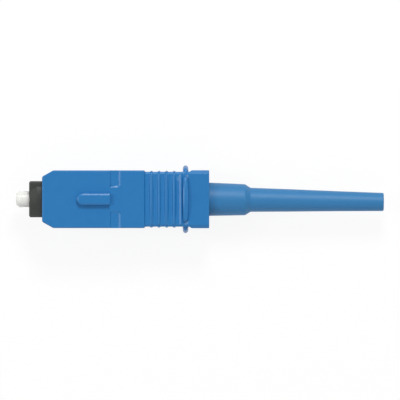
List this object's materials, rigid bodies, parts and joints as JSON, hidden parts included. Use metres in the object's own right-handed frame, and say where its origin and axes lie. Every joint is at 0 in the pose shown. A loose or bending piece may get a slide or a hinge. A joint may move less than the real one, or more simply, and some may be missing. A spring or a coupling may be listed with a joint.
{
  "type": "fibre optic connector",
  "caption": "Push-pull fibre connector with a keyed, ribbed housing that slides on a black plug frame, a sprung ceramic ferrule and a long tapered boot.",
  "frame": {"origin": "centre of the ferrule's end face, on the optical axis", "axes": "+X along the optical axis from the ferrule to the boot's tail, +Z out of the face that carries the key, +Y across the broad face"},
  "size_m": [0.0575, 0.0106, 0.009],
  "materials": {
    "zirconia": "polished ceramic",
    "nickel_plate": "nickel plate on brass",
    "ptfe": "waxy white",
    "spring_steel": "drawn wire",
    "black_plastic": "satin moulding",
    "boot_plastic": "soft satin",
    "blue_plastic": "satin moulding"
  },
  "bodies": {
    "connector": {"plug_frame": "black_plastic", "stop_ring": "nickel_plate", "boot": "boot_plastic"},
    "outer_grip": {"grip": "blue_plastic"},
    "ferrule_group": {"ferrule": "zirconia", "ferrule_flange": "nickel_plate", "lead_in_tube": "ptfe", "spring": "spring_steel"}
  },
  "joints": [
    {"name": "grip_slide", "type": "slide", "parent": "connector", "child": "outer_grip", "axis": [1, 0, 0], "range_m": [0, 0.002]},
    {"name": "ferrule_slide", "type": "slide", "parent": "connector", "child": "ferrule_group", "axis": [1, 0, 0], "range_m": [0, 0.0015], "stiffness_N_per_m": 1600, "deforming": ["spring"]}
  ]
}
